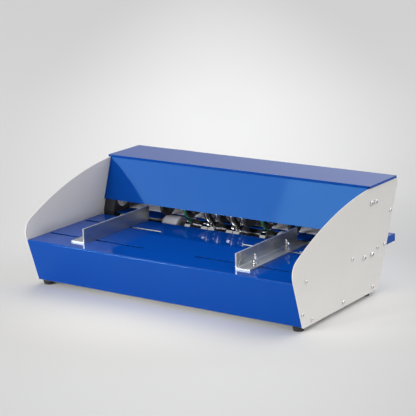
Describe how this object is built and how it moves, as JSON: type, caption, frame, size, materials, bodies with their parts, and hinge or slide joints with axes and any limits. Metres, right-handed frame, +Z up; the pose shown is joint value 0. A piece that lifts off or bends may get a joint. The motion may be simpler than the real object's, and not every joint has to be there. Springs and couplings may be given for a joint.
{
  "type": "rotary perforator",
  "caption": "Desktop motor-driven rotary perforator and creaser: slotted feed table with sliding side guides, paired tool shafts under a hood, and an outfeed tray.",
  "frame": {"origin": "on the bench under the middle of the machine: mid-way between the side plates, half way from nose to rear corner, at the feet's underside", "axes": "+X across the feed towards the right-hand side plate, +Y from the operator towards the outfeed, +Z up"},
  "size_m": [0.5919, 0.3696, 0.205],
  "materials": {
    "side_plate_paint": "fine powder coat, light warm grey, satin",
    "blue_paint": "smooth glossy powder coat, mid blue",
    "galvanised_steel": "zinc plated sheet",
    "steel": "turned steel",
    "plated_steel": "bright zinc or nickel plate",
    "chrome": "polished chrome",
    "aluminium": "mill finish, drawn along its length",
    "black_rubber": "matt moulded rubber",
    "grey_rubber": "ground rubber, light grey",
    "green_rubber": "moulded rubber, green",
    "black_plastic": "moulded plastic, black",
    "circuit_board": "green board with parts"
  },
  "bodies": {
    "chassis": {"left_side_plate": "side_plate_paint", "right_side_plate": "side_plate_paint", "feed_table": "blue_paint", "outfeed_tray": "blue_paint", "hood_front": "blue_paint", "rear_cover": "blue_paint", "lid_hinge_fixed_leaves": "plated_steel", "lid_hinge_pins": "steel", "base_pan": "galvanised_steel", "rubber_feet": "black_rubber", "foot_screws": "plated_steel", "tie_bar": "steel", "left_bearing_block": "aluminium", "right_bearing_block": "aluminium", "lower_bearings": "chrome", "upper_bearings": "chrome", "gearbox": "aluminium", "motor_can": "galvanised_steel", "motor_bracket": "galvanised_steel", "m6_screws": "plated_steel", "m4_screws": "plated_steel", "switch_bezel": "black_plastic", "potentiometer": "plated_steel", "power_inlet": "black_plastic", "speed_board": "circuit_board", "board_standoffs": "plated_steel"},
    "lower_roller": {"lower_shaft": "steel", "lower_gear": "steel", "feed_roller_hubs": "aluminium", "feed_roller_tyres": "grey_rubber", "anvil_rings": "chrome", "anvil_set_screws": "steel"},
    "upper_roller": {"upper_shaft": "steel", "upper_gear": "steel", "pinch_wheels": "black_plastic", "pinch_wheel_tyres": "black_rubber", "o_ring_wheels": "black_plastic", "green_o_rings": "green_rubber", "tool_hubs": "chrome", "stripper_rings": "black_rubber", "scoring_wheels": "steel", "perforating_blades": "steel"},
    "motor_rotor": {"motor_shaft": "steel", "drive_pinion": "steel"},
    "left_guide_set": {"left_guide": "aluminium", "left_guide_bolts": "plated_steel", "left_guide_washers": "plated_steel"},
    "right_guide_set": {"right_guide": "aluminium", "right_guide_bolts": "plated_steel", "right_guide_washers": "plated_steel"},
    "left_front_nut": {"left_front_wing_nut": "plated_steel"},
    "left_rear_nut": {"left_rear_wing_nut": "plated_steel"},
    "right_front_nut": {"right_front_wing_nut": "plated_steel"},
    "right_rear_nut": {"right_rear_wing_nut": "plated_steel"},
    "lid": {"top_lid": "blue_paint", "lid_hinge_moving_leaves": "plated_steel"},
    "rocker": {"power_rocker": "black_plastic"},
    "knob": {"speed_knob": "black_plastic", "potentiometer_shaft": "steel"}
  },
  "joints": [
    {"name": "lower_shaft_spin", "type": "hinge", "parent": "chassis", "child": "lower_roller", "pos_m": [0, 0.08, 0.0745], "axis": [1, 0, 0], "continuous": true},
    {"name": "upper_shaft_spin", "type": "hinge", "parent": "chassis", "child": "upper_roller", "pos_m": [0, 0.08, 0.1205], "axis": [1, 0, 0], "continuous": true},
    {"name": "motor_shaft_spin", "type": "hinge", "parent": "chassis", "child": "motor_rotor", "pos_m": [0.245, 0.05844, 0.042], "axis": [1, 0, 0], "continuous": true},
    {"name": "left_guide_slide", "type": "slide", "parent": "chassis", "child": "left_guide_set", "axis": [1, 0, 0], "range_m": [-0.0765, 0.088]},
    {"name": "right_guide_slide", "type": "slide", "parent": "chassis", "child": "right_guide_set", "axis": [1, 0, 0], "range_m": [-0.093, 0.097]},
    {"name": "left_front_nut_turn", "type": "hinge", "parent": "left_guide_set", "child": "left_front_nut", "pos_m": [-0.196, -0.12, 0.0966], "axis": [0, 0, 1], "range_deg": [0, 360]},
    {"name": "left_rear_nut_turn", "type": "hinge", "parent": "left_guide_set", "child": "left_rear_nut", "pos_m": [-0.196, -0.0145, 0.0966], "axis": [0, 0, 1], "range_deg": [0, 360]},
    {"name": "right_front_nut_turn", "type": "hinge", "parent": "right_guide_set", "child": "right_front_nut", "pos_m": [0.175, -0.12, 0.0966], "axis": [0, 0, 1], "range_deg": [0, 360]},
    {"name": "right_rear_nut_turn", "type": "hinge", "parent": "right_guide_set", "child": "right_rear_nut", "pos_m": [0.175, -0.0145, 0.0966], "axis": [0, 0, 1], "range_deg": [0, 360]},
    {"name": "lid_hinge", "type": "hinge", "parent": "chassis", "child": "lid", "pos_m": [0, 0.1786, 0.2028], "axis": [-1, 0, 0], "range_deg": [0, 100]},
    {"name": "power_switch_rock", "type": "hinge", "parent": "chassis", "child": "rocker", "pos_m": [-0.286, -0.11, 0.055], "axis": [0, -1, 0], "range_deg": [0, 24]},
    {"name": "speed_knob_turn", "type": "hinge", "parent": "chassis", "child": "knob", "pos_m": [-0.29, -0.062, 0.055], "axis": [1, 0, 0], "range_deg": [0, 280]}
  ],
  "couplings": [
    {"joint": "upper_shaft_spin", "follows": "lower_shaft_spin", "ratio": -1},
    {"joint": "motor_shaft_spin", "follows": "lower_shaft_spin", "ratio": -1.4375}
  ]
}
